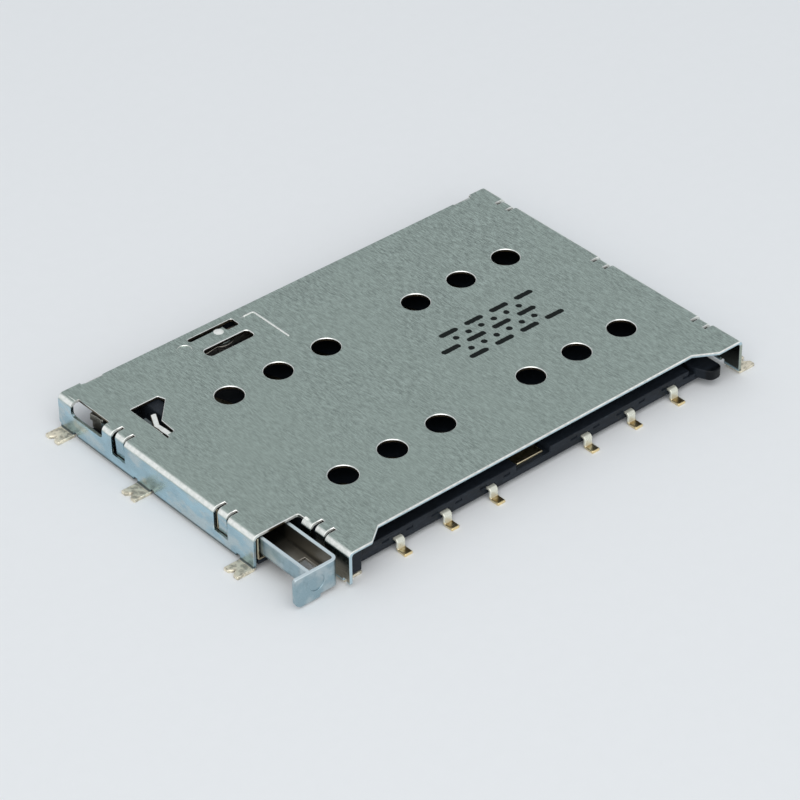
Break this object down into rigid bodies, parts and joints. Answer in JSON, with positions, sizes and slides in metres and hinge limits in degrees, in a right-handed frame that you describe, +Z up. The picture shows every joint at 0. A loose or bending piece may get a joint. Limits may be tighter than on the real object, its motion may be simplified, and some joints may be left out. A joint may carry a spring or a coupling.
{
  "type": "sim card socket",
  "caption": "Low surface-mount socket with a folded metal shell, a slot for a card tray and a push rod that ejects it.",
  "frame": {"origin": "middle of the footprint on the circuit board, at the height of the board", "axes": "+X along the long side, +Y away from the tray mouth towards the rear, +Z up from the board"},
  "size_m": [0.025, 0.016, 0.0018],
  "materials": {
    "stamped_steel": "satin with a fine rolled grain, bright where it is folded or cut",
    "rod_steel": "smooth satin",
    "lever_steel": "dull, darker sheet",
    "nickel_brass": "dull, pale brass colour",
    "contact_alloy": "pale gold flash over nickel",
    "dark_resin": "glass-filled moulding, slightly blue black"
  },
  "bodies": {
    "base": {"shell": "stamped_steel", "housing": "dark_resin", "rod_guide": "nickel_brass", "lever_pin": "stamped_steel", "tray_spring": "contact_alloy", "detect_spring": "contact_alloy", "detect_contact": "contact_alloy", "contact_front_1": "contact_alloy", "contact_front_2": "contact_alloy", "contact_front_3": "contact_alloy", "contact_front_4": "contact_alloy", "contact_front_5": "contact_alloy", "contact_front_6": "contact_alloy", "contact_rear_1": "contact_alloy", "contact_rear_2": "contact_alloy", "contact_rear_3": "contact_alloy", "contact_rear_4": "contact_alloy", "contact_rear_5": "contact_alloy", "contact_rear_6": "contact_alloy"},
    "rod": {"push_rod": "rod_steel"},
    "lever": {"eject_lever": "lever_steel"}
  },
  "joints": [
    {"name": "rod_push", "type": "slide", "parent": "base", "child": "rod", "axis": [0, 1, 0], "range_m": [0, 0.0014]},
    {"name": "lever_turn", "type": "hinge", "parent": "base", "child": "lever", "pos_m": [-0.0041, 0.0069, 0.00125], "axis": [0, 0, -1], "range_deg": [0, 12]}
  ],
  "couplings": [
    {"joint": "lever_turn", "follows": "rod_push", "rad_per_m": 144.93}
  ]
}
